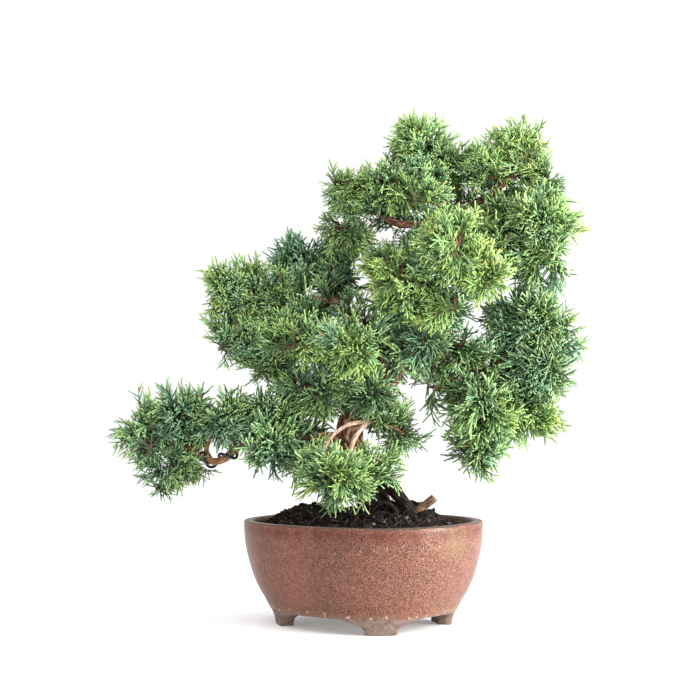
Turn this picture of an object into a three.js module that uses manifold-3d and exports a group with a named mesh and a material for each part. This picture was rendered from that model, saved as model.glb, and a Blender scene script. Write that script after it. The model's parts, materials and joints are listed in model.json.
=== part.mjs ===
// A juniper bonsai in a glazed pot, in millimetres, +Z up.
// The origin is on the ground under the middle of the overall width, and the tree's front faces -Y.
// Inside the group, places are measured from the middle of the pot instead.
import * as THREE from "three";
import { mergeVertices } from "three/addons/utils/BufferGeometryUtils.js";
import Module from "manifold-3d";

const wasm = await Module();
wasm.setup();

// ---- Driving dimensions -------------------------------------------------------------------
const GAP = 0.35; // left between pieces that touch

const POT_CENTRE = 7.2; // the pot's middle, to the right of the origin

const POT_LENGTH = 150;
const POT_WIDTH = 123;
const POT_HEIGHT = 64;
const POT_TURN = THREE.MathUtils.degToRad(-39.5); // the long side, from +X; one corner faces the front
const POT_SQUARENESS = 2.4; // 2 is an ellipse, higher is squarer
const POT_SEGMENTS = 40;

const FOOT_HEIGHT = 9;
const FOOT_TOP_WIDTH = 44;
const FOOT_BOTTOM_WIDTH = 24;
const FOOT_OVERLAP = 0.6; // how far each foot reaches up into the pot's base

const FLOOR_TOP = 14.5; // the upper face of the pot's floor
const DRAIN_RADIUS = 7.5;
const DRAIN_OFFSET = 27; // each drain hole, from the middle along the pot's long side

const SCREEN_SIZE = 27;
const SCREEN_THICKNESS = 1;
const SCREEN_CELLS = 3;
const SCREEN_BAR = 1.2;
const CLIP_RADIUS = 0.6;
const CLIP_LEG = 5.9; // each leg, from the middle of the drain hole
const BAR_SIDES = 6; // of a swept wire's section

const SOIL_EDGE = 59.2; // height of the soil at the pot's wall
const SOIL_MIDDLE = 70; // and round the trunk
const SOIL_SHARE = 0.913; // the soil's edge, as a share of the rim
const HEAP_X = 33; // a heap of soil on the right
const HEAP_Y = -4;
const HEAP_HEIGHT = 8;
const HEAP_REACH = 15;

const WIRE_RADIUS = 0.9;
const WIRE_PITCH = 14;
const WIRE_START = 0.14; // share of the way along the low left branch
const WIRE_END = 0.94;

const PAD_DETAIL = 1; // subdivisions of each lump of foliage
const PAD_LUMPINESS = 0.09;

// ---- Materials ----------------------------------------------------------------------------
const paint = (color, roughness, metalness = 0) => () =>
  new THREE.MeshStandardMaterial({ color, roughness, metalness });
const glaze = paint("#8e5348", 0.45);
const compost = paint("#2b211b", 0.95);
const bark = paint("#6d4a38", 0.85);
const foliage = paint("#6f9d4c", 0.7);
const plastic = paint("#26272a", 0.6);
const blackWire = paint("#1d1c1e", 0.45, 1);

const group = new THREE.Group();
group.position.x = POT_CENTRE;

// ---- Solids -------------------------------------------------------------------------------

// A three.js geometry as a solid that can be joined and cut.
function solid(geometry) {
  geometry.deleteAttribute("normal");
  geometry.deleteAttribute("uv");
  const merged = mergeVertices(geometry, 1e-4);
  return new wasm.Manifold(
    new wasm.Mesh({
      numProp: 3,
      vertProperties: merged.getAttribute("position").array,
      triVerts: new Uint32Array(merged.index.array),
    }),
  );
}

function join(solids) {
  return solids.reduce((whole, next) => whole.add(next));
}

// The largest body left after a cut.
function largest(cut) {
  return cut.decompose().reduce((a, b) => (a.volume() > b.volume() ? a : b));
}

function addPiece(name, made, material) {
  const mesh = made.getMesh();
  const geometry = new THREE.BufferGeometry();
  geometry.setAttribute("position", new THREE.BufferAttribute(mesh.vertProperties, 3));
  geometry.setIndex(new THREE.BufferAttribute(mesh.triVerts, 1));
  geometry.computeVertexNormals();
  const piece = new THREE.Mesh(geometry, material());
  piece.name = name;
  group.add(piece);
  return piece;
}

// Moves every vertex of a geometry to where place(vertex) puts it.
function reshape(geometry, place) {
  const position = geometry.getAttribute("position");
  const vertex = new THREE.Vector3();
  for (let i = 0; i < position.count; i++) {
    place(vertex.fromBufferAttribute(position, i));
    position.setXYZ(i, vertex.x, vertex.y, vertex.z);
  }
  return geometry;
}

// ---- The pot ------------------------------------------------------------------------------

// Turns a round profile of [share of the rim, height] into the pot's soft rectangle.
function potRound(profile) {
  const points = profile.map(([share, z]) => new THREE.Vector2(share, z));
  const geometry = new THREE.LatheGeometry(points, POT_SEGMENTS).rotateX(Math.PI / 2);
  const soften = (value) => Math.sign(value) * Math.abs(value) ** (2 / POT_SQUARENESS);
  return solid(
    reshape(geometry, (v) => {
      const share = Math.hypot(v.x, v.y);
      const angle = Math.atan2(v.y, v.x);
      v.x = (share * POT_LENGTH * soften(Math.cos(angle))) / 2;
      v.y = (share * POT_WIDTH * soften(Math.sin(angle))) / 2;
      v.applyAxisAngle(new THREE.Vector3(0, 0, 1), POT_TURN);
    }),
  );
}

const bowlOutside = [
  [0.775, FOOT_HEIGHT + 1.2],
  [0.815, 16],
  [0.882, 25],
  [0.941, 36],
  [0.983, 48],
  [1, 57],
];
const bowlInside = [
  [0.915, 60.5],
  [0.9, 48],
  [0.858, 36],
  [0.795, 25],
  [0.72, 17],
  [0.65, FLOOR_TOP],
];

// One bracket foot: an ogee outline facing its corner, cut to the curve of the pot's base.
function bracketFoot(corner, skirt) {
  const top = FOOT_TOP_WIDTH / 2;
  const bottom = FOOT_BOTTOM_WIDTH / 2;
  const outline = new THREE.Shape();
  outline.moveTo(-bottom, 0);
  outline.lineTo(bottom, 0);
  outline.quadraticCurveTo(bottom + 1, 4.5, bottom + 5, 6);
  outline.quadraticCurveTo(top - 2, 7, top, FOOT_HEIGHT + FOOT_OVERLAP);
  outline.lineTo(-top, FOOT_HEIGHT + FOOT_OVERLAP);
  outline.quadraticCurveTo(2 - top, 7, -bottom - 5, 6);
  outline.quadraticCurveTo(-bottom - 1, 4.5, -bottom, 0);
  const slab = new THREE.ExtrudeGeometry(outline, { depth: 90, bevelEnabled: false, curveSegments: 4 });
  const radial = new THREE.Vector3(Math.cos(corner), Math.sin(corner), 0);
  const up = new THREE.Vector3(0, 0, 1);
  const across = new THREE.Vector3().crossVectors(up, radial);
  slab.applyMatrix4(new THREE.Matrix4().makeBasis(across, up, radial));
  return solid(slab).intersect(skirt);
}

// A point in the pot's own directions: along its long side, across it, and up.
function inPot(along, across, z) {
  const point = new THREE.Vector3(along, across, z);
  return point.applyAxisAngle(new THREE.Vector3(0, 0, 1), POT_TURN);
}

function makePot() {
  const bowl = potRound([
    [0, FOOT_HEIGHT],
    [0.76, FOOT_HEIGHT],
    ...bowlOutside,
    [1, POT_HEIGHT - 0.9],
    [0.987, POT_HEIGHT],
    [0.93, POT_HEIGHT],
    ...bowlInside,
    [0, FLOOR_TOP],
  ]);
  const skirt = potRound([
    [0.61, 0],
    [0.735, 0],
    [0.77, FOOT_HEIGHT + FOOT_OVERLAP],
    [0.61, FOOT_HEIGHT + FOOT_OVERLAP],
    [0.61, 0],
  ]);
  const diagonal = Math.atan2(POT_WIDTH, POT_LENGTH);
  const corners = [diagonal, Math.PI - diagonal, Math.PI + diagonal, -diagonal];
  const feet = corners.map((corner) => bracketFoot(corner + POT_TURN, skirt));
  const drains = [-DRAIN_OFFSET, DRAIN_OFFSET].map((along) => {
    const middle = inPot(along, 0, FLOOR_TOP - 4);
    const drill = new THREE.CylinderGeometry(DRAIN_RADIUS, DRAIN_RADIUS, 20, 20).rotateX(Math.PI / 2);
    return solid(drill.translate(middle.x, middle.y, middle.z));
  });
  return join([bowl, ...feet]).subtract(join(drains));
}

addPiece("pot", makePot(), glaze);

// ---- Drain screens and their clips ----------------------------------------------------------

// A square of mesh that keeps the compost off one drain hole: bars both ways, joined.
function makeScreen() {
  const pitch = (SCREEN_SIZE - SCREEN_BAR) / SCREEN_CELLS;
  const bars = [];
  for (let i = 0; i <= SCREEN_CELLS; i++) {
    const offset = (SCREEN_BAR - SCREEN_SIZE) / 2 + i * pitch;
    const lengthwise = new THREE.BoxGeometry(SCREEN_SIZE, SCREEN_BAR, SCREEN_THICKNESS);
    const crosswise = new THREE.BoxGeometry(SCREEN_BAR, SCREEN_SIZE, SCREEN_THICKNESS);
    bars.push(solid(lengthwise.translate(0, offset, 0)));
    bars.push(solid(crosswise.translate(offset, 0, 0)));
  }
  return join(bars);
}

// A round bar swept along a path.
function sweptBar(path, radius, steps) {
  const section = new THREE.Shape();
  section.moveTo(radius, 0);
  for (let side = 1; side < BAR_SIDES; side++) {
    const angle = (2 * Math.PI * side) / BAR_SIDES;
    section.lineTo(radius * Math.cos(angle), radius * Math.sin(angle));
  }
  return solid(new THREE.ExtrudeGeometry(section, { steps, extrudePath: path, bevelEnabled: false }));
}

// A wire staple: over the screen, down through two of its cells and the hole, out under the floor.
function makeClip(along, radius) {
  const over = FLOOR_TOP + SCREEN_THICKNESS + 2 * GAP + CLIP_RADIUS;
  const under = FOOT_HEIGHT - GAP - CLIP_RADIUS;
  const points = [
    [-CLIP_LEG - 6, under],
    [-CLIP_LEG - 1, under],
    [-CLIP_LEG, under + 1.2],
    [-CLIP_LEG, over - 1.2],
    [1.2 - CLIP_LEG, over],
    [CLIP_LEG - 1.2, over],
    [CLIP_LEG, over - 1.2],
    [CLIP_LEG, under + 1.2],
    [CLIP_LEG + 1, under],
    [CLIP_LEG + 6, under],
  ].map(([reachAlong, z]) => inPot(along + reachAlong, 0, z));
  return sweptBar(new THREE.CatmullRomCurve3(points, false, "centripetal"), radius, 20);
}

const sides = { left: -DRAIN_OFFSET, right: DRAIN_OFFSET };
for (const [side, along] of Object.entries(sides)) {
  const screen = addPiece(`drain_screen_${side}`, makeScreen(), plastic);
  screen.position.copy(inPot(along, 0, FLOOR_TOP + GAP + SCREEN_THICKNESS / 2));
  screen.rotation.z = POT_TURN;
  addPiece(`screen_clip_${side}`, makeClip(along, CLIP_RADIUS), blackWire);
}

// ---- Trunk, branches and roots ----------------------------------------------------------------

// A branch: a route by eye, and its radius at the thick and at the thin end.
function limb(points, thick, thin, bulge = 1) {
  const route = points.map(([x, y, z]) => new THREE.Vector3(x, y, z));
  return { path: new THREE.CatmullRomCurve3(route, false, "centripetal"), thick, thin, bulge };
}

function limbRadius({ thick, thin, bulge }, t) {
  return THREE.MathUtils.lerp(thick, thin, t ** bulge);
}

// A closed cylinder bent along the limb's path, tapering as it goes.
function limbSolid(made, sides, extra = 0) {
  const steps = Math.max(6, Math.round(made.path.getLength() / 9));
  const frames = made.path.computeFrenetFrames(steps);
  const rod = new THREE.CylinderGeometry(1, 1, 1, sides, steps);
  return solid(
    reshape(rod, (v) => {
      const ring = Math.round((v.y + 0.5) * steps);
      const radius = limbRadius(made, ring / steps) + extra;
      const offset = frames.normals[ring].clone().multiplyScalar(v.x * radius);
      offset.addScaledVector(frames.binormals[ring], -v.z * radius);
      v.copy(made.path.getPointAt(ring / steps)).add(offset);
    }),
  );
}

const trunk = limb(
  [
    [13, 0, 50], [9, 0, 68], [5, -1, 82], [-1, -1, 96], [-6, -2, 110], [-7, -2, 122], [0, 0, 135],
    [11, 2, 144], [21, 4, 154], [29, 5, 171], [40, 6, 194], [49, 6, 219], [54, 4, 243], [52, 1, 262],
    [46, 0, 275], [40, 0, 290],
  ],
  16, 1.6, 0.42,
);

const lowLeft = limb(
  [
    [-4, -2, 114], [-21, -3, 115], [-37, -3, 115], [-49, -1, 117], [-63, 0, 117], [-73, 0, 113],
    [-80, -1, 106], [-88, -2, 101], [-97, -1, 102], [-107, 0, 109], [-120, 0, 113],
  ],
  3.8, 1.6,
);

const limbs = [
  lowLeft,
  limb([[-93, -1, 101], [-96, -1, 108], [-94, 0, 114], [-91, 0, 122]], 1.7, 1.2),
  limb([
    [-46, -2, 115], [-47, -2, 127], [-46, 0, 138], [-42, 0, 147], [-49, 0, 160],
    [-63, -3, 171],
  ], 3.2, 1.8),
  limb([
    [19, 2, 151], [9, 0, 168], [-2, 0, 184], [-15, 2, 196], [-32, 3, 200], [-49, 3, 201],
    [-68, 0, 203],
  ], 5.4, 1.9),
  limb([[5, 0, 173], [1, -15, 171], [-7, -26, 168]], 2.6, 1.6),
  limb([[-12, 2, 194], [-20, 15, 207], [-29, 25, 220]], 2.6, 1.6),
  limb([[-24, 3, 199], [-30, -9, 190], [-37, -19, 181]], 2.3, 1.5),
  limb([[-5, -3, 124], [7, -10, 126], [1, -20, 123], [-8, -28, 115], [-13, -34, 102]], 3, 1.5),
  limb([[2, -9, 125], [9, -10, 125], [16, -10, 122], [23, -9, 119]], 2, 1.3),
  limb([[47, 6, 211], [50, -9, 217], [53, -24, 221], [56, -34, 225]], 3.6, 1.8),
  limb([[42, 7, 199], [38, -9, 204], [29, -26, 207]], 3, 1.7),
  limb([
    [29, 5, 173], [44, 3, 165], [60, 0, 159], [75, 0, 157], [89, 0, 153], [100, 0, 143],
  ], 4.6, 1.9),
  limb([[80, 0, 156], [93, 2, 166], [106, 3, 172]], 2.6, 1.6),
  limb([[88, 0, 154], [101, 17, 165], [108, 29, 171]], 2.5, 1.5),
  limb([[53, 5, 238], [69, 6, 233], [88, 5, 236], [103, 0, 239], [112, -2, 241]], 3.3, 1.6),
  limb([
    [53, 2, 254], [66, 5, 258], [78, 3, 262], [89, 0, 271], [97, 0, 279], [101, 0, 287],
  ], 3.3, 1.6),
  limb([[53, 4, 249], [41, 3, 248], [25, 0, 247], [13, 0, 253], [1, 0, 259]], 3.1, 1.7),
  limb([[38, 7, 191], [38, 24, 194], [37, 36, 196]], 3.2, 1.9),
  limb([[50, 5, 233], [54, 21, 239], [55, 34, 242]], 2.9, 1.8),
  limb([[16, 3, 147], [13, 21, 156], [11, 33, 160]], 3.3, 1.9),
  // sawn root
  limb([
    [13, -2, 58], [24, -11, 62], [32, -14, 68], [38, -14, 73], [44, -15, 78],
  ], 3.4, 2.2),
  limb([
    [5, -6, 60], [5, -17, 69], [10, -20, 75], [16, -20, 75], [21, -20, 70], [25, -19, 62],
  ], 1.6, 1.1),
  limb([[9, 0, 74], [-4, -6, 68], [-17, -12, 63]], 5, 2), // surface roots
  limb([[9, 2, 74], [4, 14, 69], [-4, 24, 62]], 5, 2),
  limb([[12, 2, 72], [25, 9, 68], [37, 15, 62]], 5, 2),
];

function woodSolid(extra) {
  return join([limbSolid(trunk, 10, extra), ...limbs.map((made) => limbSolid(made, 5, extra))]);
}
const wood = woodSolid(0);
const woodWithGap = woodSolid(GAP);
addPiece("trunk_and_branches", wood, bark);

// ---- Training wire ------------------------------------------------------------------------------

// A helix that winds round a limb, just clear of its bark.
class WireCurve extends THREE.Curve {
  constructor(made, start, end) {
    super();
    Object.assign(this, { made, start, end });
    this.turns = ((end - start) * made.path.getLength()) / WIRE_PITCH;
  }

  getPoint(share, target = new THREE.Vector3()) {
    const t = THREE.MathUtils.lerp(this.start, this.end, share);
    const along = this.made.path.getTangentAt(t);
    const side = new THREE.Vector3(0, 1, 0).cross(along).normalize();
    const other = new THREE.Vector3().crossVectors(along, side);
    const reach = limbRadius(this.made, t) + WIRE_RADIUS + 2 * GAP;
    const angle = share * this.turns * 2 * Math.PI;
    target.copy(this.made.path.getPointAt(t));
    target.addScaledVector(side, Math.cos(angle) * reach);
    return target.addScaledVector(other, Math.sin(angle) * reach);
  }
}

const wireCurve = new WireCurve(lowLeft, WIRE_START, WIRE_END);
const wireSteps = Math.round(wireCurve.turns * 12);
const coil = sweptBar(wireCurve, WIRE_RADIUS, wireSteps).subtract(woodWithGap);
addPiece("training_wire", largest(coil), blackWire);

// ---- Soil -----------------------------------------------------------------------------------------

// The soil rises from the rim to the trunk, with a higher heap to its right.
function soilTop(x, y, share) {
  const rise = (SOIL_MIDDLE - SOIL_EDGE) * (1 - share ** 2.2);
  const away = Math.hypot(x - HEAP_X, y - HEAP_Y) / HEAP_REACH;
  const heap = HEAP_HEIGHT * Math.exp(-(away ** 2));
  return SOIL_EDGE + rise + heap * (1 - share ** 4);
}

function makeSoil() {
  const wall = bowlInside.slice(1).reverse();
  const surface = [1, 0.8, 0.6, 0.4, 0.2];
  const inset = GAP / (POT_WIDTH / 2);
  const shape = potRound([
    [0, FLOOR_TOP + GAP],
    ...wall.map(([share, z]) => [share - inset, Math.max(z, FLOOR_TOP + GAP)]),
    ...surface.map((share) => [share * (SOIL_SHARE - inset), SOIL_EDGE]),
    [0, SOIL_EDGE],
  ]);
  const mesh = shape.getMesh();
  const top = new THREE.BufferGeometry();
  top.setAttribute("position", new THREE.BufferAttribute(mesh.vertProperties, 3));
  top.setIndex(new THREE.BufferAttribute(mesh.triVerts, 1));
  const turnBack = new THREE.Vector3();
  reshape(top, (v) => {
    if (v.z < SOIL_EDGE - 0.01) return;
    turnBack.copy(v).applyAxisAngle(new THREE.Vector3(0, 0, 1), -POT_TURN);
    const across = Math.abs((2 * turnBack.x) / POT_LENGTH) ** POT_SQUARENESS;
    const deep = Math.abs((2 * turnBack.y) / POT_WIDTH) ** POT_SQUARENESS;
    const share = Math.min(1, (across + deep) ** (1 / POT_SQUARENESS) / SOIL_SHARE);
    v.z = soilTop(v.x, v.y, share);
  });
  const hollows = Object.values(sides).flatMap((along) => {
    const seat = inPot(along, 0, FLOOR_TOP + (SCREEN_THICKNESS + 2 * GAP) / 2);
    const room = new THREE.BoxGeometry(
      SCREEN_SIZE + 2 * GAP,
      SCREEN_SIZE + 2 * GAP,
      SCREEN_THICKNESS + 2 * GAP,
    );
    const clip = makeClip(along, CLIP_RADIUS + GAP);
    return [solid(room.rotateZ(POT_TURN).translate(seat.x, seat.y, seat.z)), clip];
  });
  return largest(solid(top).subtract(join(hollows)).subtract(woodWithGap));
}

addPiece("soil", makeSoil(), compost);

// ---- Foliage ----------------------------------------------------------------------------------------

// One lump of foliage: a ball stretched to its half sizes, with soft bumps over it.
function lump([x, y, z], [halfX, halfY, halfZ], extra) {
  const ball = new THREE.IcosahedronGeometry(1, PAD_DETAIL);
  return solid(
    reshape(ball, (v) => {
      const bumps = Math.sin(4 * v.x + x) + Math.sin(5 * v.y + z) + Math.sin(4.5 * v.z + y);
      const swell = 1 + PAD_LUMPINESS * bumps;
      v.set(
        x + v.x * (halfX * swell + extra),
        y + v.y * (halfY * swell + extra),
        z + v.z * (halfZ * swell + extra),
      );
    }),
  );
}

// Each pad is the leafy shoots of one branch: lumps given as [middle], [half sizes].
const pads = {
  foliage_centre_front: [[[58, -40, 231], [25, 19, 20]], [[75, -31, 211], [17, 17, 18]]],
  foliage_centre_front_left: [
    [[26, -32, 211], [21, 17, 17]],
    [[50, -25, 196], [21, 16, 14]],
    [[17, -24, 229], [12, 12, 12]],
  ],
  foliage_front_low: [
    [[-15, -37, 88], [20, 17, 19]],
    [[2, -31, 96], [11, 12, 14]],
    [[-31, -28, 92], [12, 12, 12]],
  ],
  foliage_left_front: [[[-39, -24, 175], [22, 18, 19]]],
  foliage_centre_left: [[[-5, -30, 167], [24, 19, 19]]],
  foliage_centre_left_under: [[[-28, -9, 143], [20, 16, 16]], [[-1, -16, 140], [21, 14, 14]]],
  foliage_low_left_tip: [[[-136, -5, 116], [20, 17, 19]], [[-120, 0, 95], [20, 15, 21]]],
  foliage_low_left_top: [[[-113, 5, 130], [19, 17, 16]], [[-89, -3, 127], [14, 15, 13]]],
  foliage_low_left_inner: [
    [[-60, 3, 121], [14, 14, 16]],
    [[-56, -6, 107], [13, 12, 13]],
    [[-38, 9, 104], [13, 11, 13]],
  ],
  foliage_left_high: [[[-79, 0, 209], [19, 18, 21]], [[-54, 6, 201], [17, 16, 17]]],
  foliage_left_middle: [[[-77, -9, 172], [19, 17, 18]], [[-56, 0, 155], [18, 17, 15]]],
  foliage_upper_left: [
    [[-9, 0, 269], [16, 17, 18]],
    [[-10, 5, 247], [14, 15, 15]],
    [[17, -6, 273], [17, 17, 17]],
  ],
  foliage_apex: [[[43, 0, 296], [17, 17, 19]], [[57, 5, 280], [15, 16, 16]]],
  foliage_apex_front: [[[34, -16, 264], [19, 15, 16]]],
  foliage_top_right: [
    [[104, 0, 290], [18, 18, 19]],
    [[113, 3, 273], [17, 15, 13]],
    [[84, -3, 278], [13, 13, 13]],
  ],
  foliage_right_upper: [
    [[115, -3, 244], [22, 18, 20]],
    [[116, 5, 223], [19, 16, 15]],
    [[91, 8, 238], [15, 15, 18]],
  ],
  foliage_right_middle: [
    [[117, 3, 184], [21, 19, 20]],
    [[113, -3, 159], [20, 17, 17]],
    [[97, 14, 190], [15, 16, 19]],
  ],
  foliage_right_low: [
    [[98, 3, 127], [19, 17, 18]],
    [[72, -7, 131], [22, 17, 18]],
    [[69, -3, 106], [13, 13, 17]],
  ],
  foliage_centre: [
    [[38, -8, 172], [20, 15, 18]],
    [[55, -4, 150], [20, 15, 13]],
    [[66, 0, 172], [17, 15, 16]],
  ],
  foliage_trunk_spray: [[[23, -10, 119], [14, 9, 9]]],
  foliage_back_left: [[[-34, 27, 226], [18, 16, 17]], [[-13, 30, 221], [16, 15, 16]]],
  foliage_back_centre: [[[36, 42, 196], [27, 21, 22]]],
  foliage_back_upper: [[[55, 40, 244], [24, 20, 20]]],
  foliage_back_low: [[[10, 39, 160], [23, 18, 17]]],
  foliage_back_right: [[[110, 36, 173], [20, 17, 20]]],
};

const roomForWire = limbSolid(lowLeft, 8, 2 * (WIRE_RADIUS + 2 * GAP) + GAP);
let taken = woodWithGap.add(roomForWire);
for (const [name, lumps] of Object.entries(pads)) {
  const [whole, withGap] = [0, GAP].map((extra) =>
    join(lumps.map(([middle, halves]) => lump(middle, halves, extra))),
  );
  addPiece(name, largest(whole.subtract(taken)), foliage);
  taken = taken.add(withGap);
}

export default group;
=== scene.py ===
import json
import math
import random

import bmesh
import bpy
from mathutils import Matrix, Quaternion, Vector, noise
from mathutils.bvhtree import BVHTree
from mathutils.kdtree import KDTree

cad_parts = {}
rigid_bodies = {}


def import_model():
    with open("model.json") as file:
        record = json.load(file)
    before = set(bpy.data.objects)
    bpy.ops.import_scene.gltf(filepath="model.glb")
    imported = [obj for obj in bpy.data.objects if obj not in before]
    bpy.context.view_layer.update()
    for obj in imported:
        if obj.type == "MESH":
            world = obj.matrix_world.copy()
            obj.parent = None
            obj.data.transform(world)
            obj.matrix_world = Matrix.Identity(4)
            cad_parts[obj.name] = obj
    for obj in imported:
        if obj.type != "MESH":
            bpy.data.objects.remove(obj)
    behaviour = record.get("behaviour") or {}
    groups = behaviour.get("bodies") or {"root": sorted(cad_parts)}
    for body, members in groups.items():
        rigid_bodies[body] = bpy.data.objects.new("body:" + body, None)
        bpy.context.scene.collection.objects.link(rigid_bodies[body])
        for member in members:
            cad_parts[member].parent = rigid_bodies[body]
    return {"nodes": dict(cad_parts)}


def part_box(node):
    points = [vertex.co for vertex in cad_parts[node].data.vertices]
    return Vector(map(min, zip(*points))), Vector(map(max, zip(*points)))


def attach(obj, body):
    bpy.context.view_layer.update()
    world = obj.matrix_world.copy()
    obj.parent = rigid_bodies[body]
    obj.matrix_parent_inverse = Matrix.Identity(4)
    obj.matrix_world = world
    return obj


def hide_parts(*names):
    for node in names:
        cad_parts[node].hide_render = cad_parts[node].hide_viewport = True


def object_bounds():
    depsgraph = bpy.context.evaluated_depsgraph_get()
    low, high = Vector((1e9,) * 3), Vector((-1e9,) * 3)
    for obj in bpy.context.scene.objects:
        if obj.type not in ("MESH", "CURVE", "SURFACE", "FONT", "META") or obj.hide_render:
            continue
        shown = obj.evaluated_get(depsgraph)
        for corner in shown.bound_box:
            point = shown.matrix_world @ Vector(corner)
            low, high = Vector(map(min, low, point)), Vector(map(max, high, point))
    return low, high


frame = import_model()
cad_box = [list(corner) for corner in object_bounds()]


# ---- Camera -----------------------------------------------------------------------------------
# Stands about a metre in front of the pot at the height of the lowest branches, and looks up
# by a degree or two.

pot_low, pot_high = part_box("pot")
pot_middle = (pot_low + pot_high) / 2
pot_middle.z = 0

camera = bpy.data.objects.new("camera", bpy.data.cameras.new("camera"))
bpy.context.collection.objects.link(camera)
camera.data.lens = 81.8
camera.data.sensor_width = 36
camera.location = pot_middle + Vector((-0.0068, -0.986, 0.141))
camera.rotation_euler = (math.radians(90 + 1.62), math.radians(0.5), 0)
bpy.context.scene.camera = camera


# ---- Floor and light --------------------------------------------------------------------------
# A white light table in a white tent of light, with a strong softbox in front on the right and a
# weak one above, so that the pot shades softly and the floor stays bright.

def linear(colour):
    """An sRGB hex colour as the linear red, green, blue and alpha that Blender wants."""
    parts = [int(colour[i : i + 2], 16) / 255 for i in (1, 3, 5)]
    return [c / 12.92 if c <= 0.04045 else ((c + 0.055) / 1.055) ** 2.4 for c in parts] + [1]


def fill(node, inputs):
    """Fills a node's inputs, by name or number, with values or with links. A link comes from a
    socket, or from the first output in use of another node."""
    for socket, value in dict(inputs).items():
        if isinstance(value, bpy.types.Node):
            value = next(output for output in value.outputs if output.enabled)
        if isinstance(value, bpy.types.NodeSocket):
            node.id_data.links.new(value, node.inputs[socket])
        else:
            node.inputs[socket].default_value = value


def add(tree, kind, inputs=(), stops=(), **settings):
    """Adds a node with its settings, its inputs and, for a colour ramp, its stops in order."""
    node = tree.nodes.new(kind)
    for name, value in settings.items():
        setattr(node, name, value)
    fill(node, inputs)
    for position, _ in stops[2:]:
        node.color_ramp.elements.new(position)
    for i, (position, colour) in enumerate(stops):
        node.color_ramp.elements[i].position = position
        node.color_ramp.elements[i].color = linear(colour)
    return node


def new_material(name):
    """An empty node material, its tree and its finished surface shader."""
    material = bpy.data.materials.new(name)
    material.use_nodes = True
    tree = material.node_tree
    return material, tree, tree.nodes["Principled BSDF"]


bpy.context.scene.view_settings.view_transform = "Standard"
world = bpy.data.worlds.new("white tent")
world.use_nodes = True
fill(world.node_tree.nodes["Background"], {"Color": linear("#ffffff"), "Strength": 1.02})
bpy.context.scene.world = world

# White acrylic lit from below, which gives a clean white ground and thin shadows.
white_acrylic, _, acrylic = new_material("white acrylic light table")
fill(acrylic, {
    "Base Color": linear("#e8e8e8"), "Roughness": 0.9, "Emission Color": linear("#ffffff"),
    "Emission Strength": 0.21,
})
bpy.ops.mesh.primitive_plane_add(size=30)
floor = bpy.context.object
floor.name = "floor"
floor.data.materials.append(white_acrylic)


def softbox(name, place, aim, size, power):
    """A square lamp in metres and watts, turned to shine at a point."""
    lamp = bpy.data.objects.new(name, bpy.data.lights.new(name, "AREA"))
    lamp.data.size = size
    lamp.data.energy = power
    lamp.location = place
    lamp.rotation_euler = (Vector(aim) - Vector(place)).to_track_quat("-Z", "Y").to_euler()
    bpy.context.collection.objects.link(lamp)


softbox("softbox right", (1.05, -0.4, 0.28), (0, 0, 0.1), 0.8, 40)
softbox("softbox above", (-0.2, -0.25, 1.2), (0, 0, 0.15), 0.8, 8)


# ---- Pot --------------------------------------------------------------------------------------
# Stoneware, pressed in a mould: a soft rectangle on four bracket feet. It was dipped in an iron
# red glaze down to just above the feet, which are bare clay like the underside.

POT_LENGTH = 0.150
POT_WIDTH = 0.123
POT_TURN = math.radians(-39.5)
POT_SQUARENESS = 2.4
POT_HEIGHT = pot_high.z
POT_SIDES = 168
FLOOR_TOP = 0.0145
FOOT_HEIGHT = 0.009
FOOT_INSIDE = 0.62
FOOT_COLUMNS = 9


def on_pot(share, angle, z):
    """A point on the pot's soft rectangle, share of the way from its middle to its rim."""
    power = 2 / POT_SQUARENESS
    along = math.copysign(abs(math.cos(angle)) ** power, math.cos(angle)) * share * POT_LENGTH / 2
    across = math.copysign(abs(math.sin(angle)) ** power, math.sin(angle)) * share * POT_WIDTH / 2
    x = along * math.cos(POT_TURN) - across * math.sin(POT_TURN)
    y = along * math.sin(POT_TURN) + across * math.cos(POT_TURN)
    return Vector((pot_middle.x + x, pot_middle.y + y, z))


def smooth_profile(points, steps=4):
    """The same outline with rounded stretches between its points."""
    padded = [points[0], *points, points[-1]]
    line = []
    for before, a, b, after in zip(padded, padded[1:], padded[2:], padded[3:]):
        for step in range(steps):
            t = step / steps
            line.append(tuple(
                0.5 * (2 * q + (r - p) * t + (2 * p - 5 * q + 4 * r - s) * t * t
                       + (3 * q - p - 3 * r + s) * t**3)
                for p, q, r, s in zip(before, a, b, after)
            ))
    return line + [points[-1]]


def join_rings(bm, rings):
    """Walls of faces between closed rings of points, each over the one before."""
    for lower, upper in zip(rings, rings[1:]):
        for i in range(len(lower)):
            j = (i + 1) % len(lower)
            bm.faces.new((lower[i], lower[j], upper[j], upper[i]))


def lathe(bm, profile, sides):
    """A shell from a profile of [share, height] whose ends lie on the axis. It returns the rings
    and the two points on the axis."""
    rings = [
        [bm.verts.new(on_pot(share, math.tau * i / sides, z)) for i in range(sides)]
        for share, z in profile[1:-1]
    ]
    join_rings(bm, rings)
    tips = []
    for end, ring, turn in ((profile[0], rings[0], -1), (profile[-1], rings[-1], 1)):
        tip = bm.verts.new(on_pot(0, 0, end[1]))
        for i in range(sides):
            bm.faces.new((tip, ring[i], ring[(i + 1) % sides])[::turn])
        tips.append(tip)
    return rings, tips


def finished(name, bm, material, smooth=True):
    """A bmesh as a named object at the origin."""
    mesh = bpy.data.meshes.new(name)
    bmesh.ops.recalc_face_normals(bm, faces=bm.faces)
    bm.to_mesh(mesh)
    bm.free()
    mesh.polygons.foreach_set("use_smooth", [smooth] * len(mesh.polygons))
    piece = bpy.data.objects.new(name, mesh)
    bpy.context.collection.objects.link(piece)
    mesh.materials.append(material)
    return piece


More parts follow.
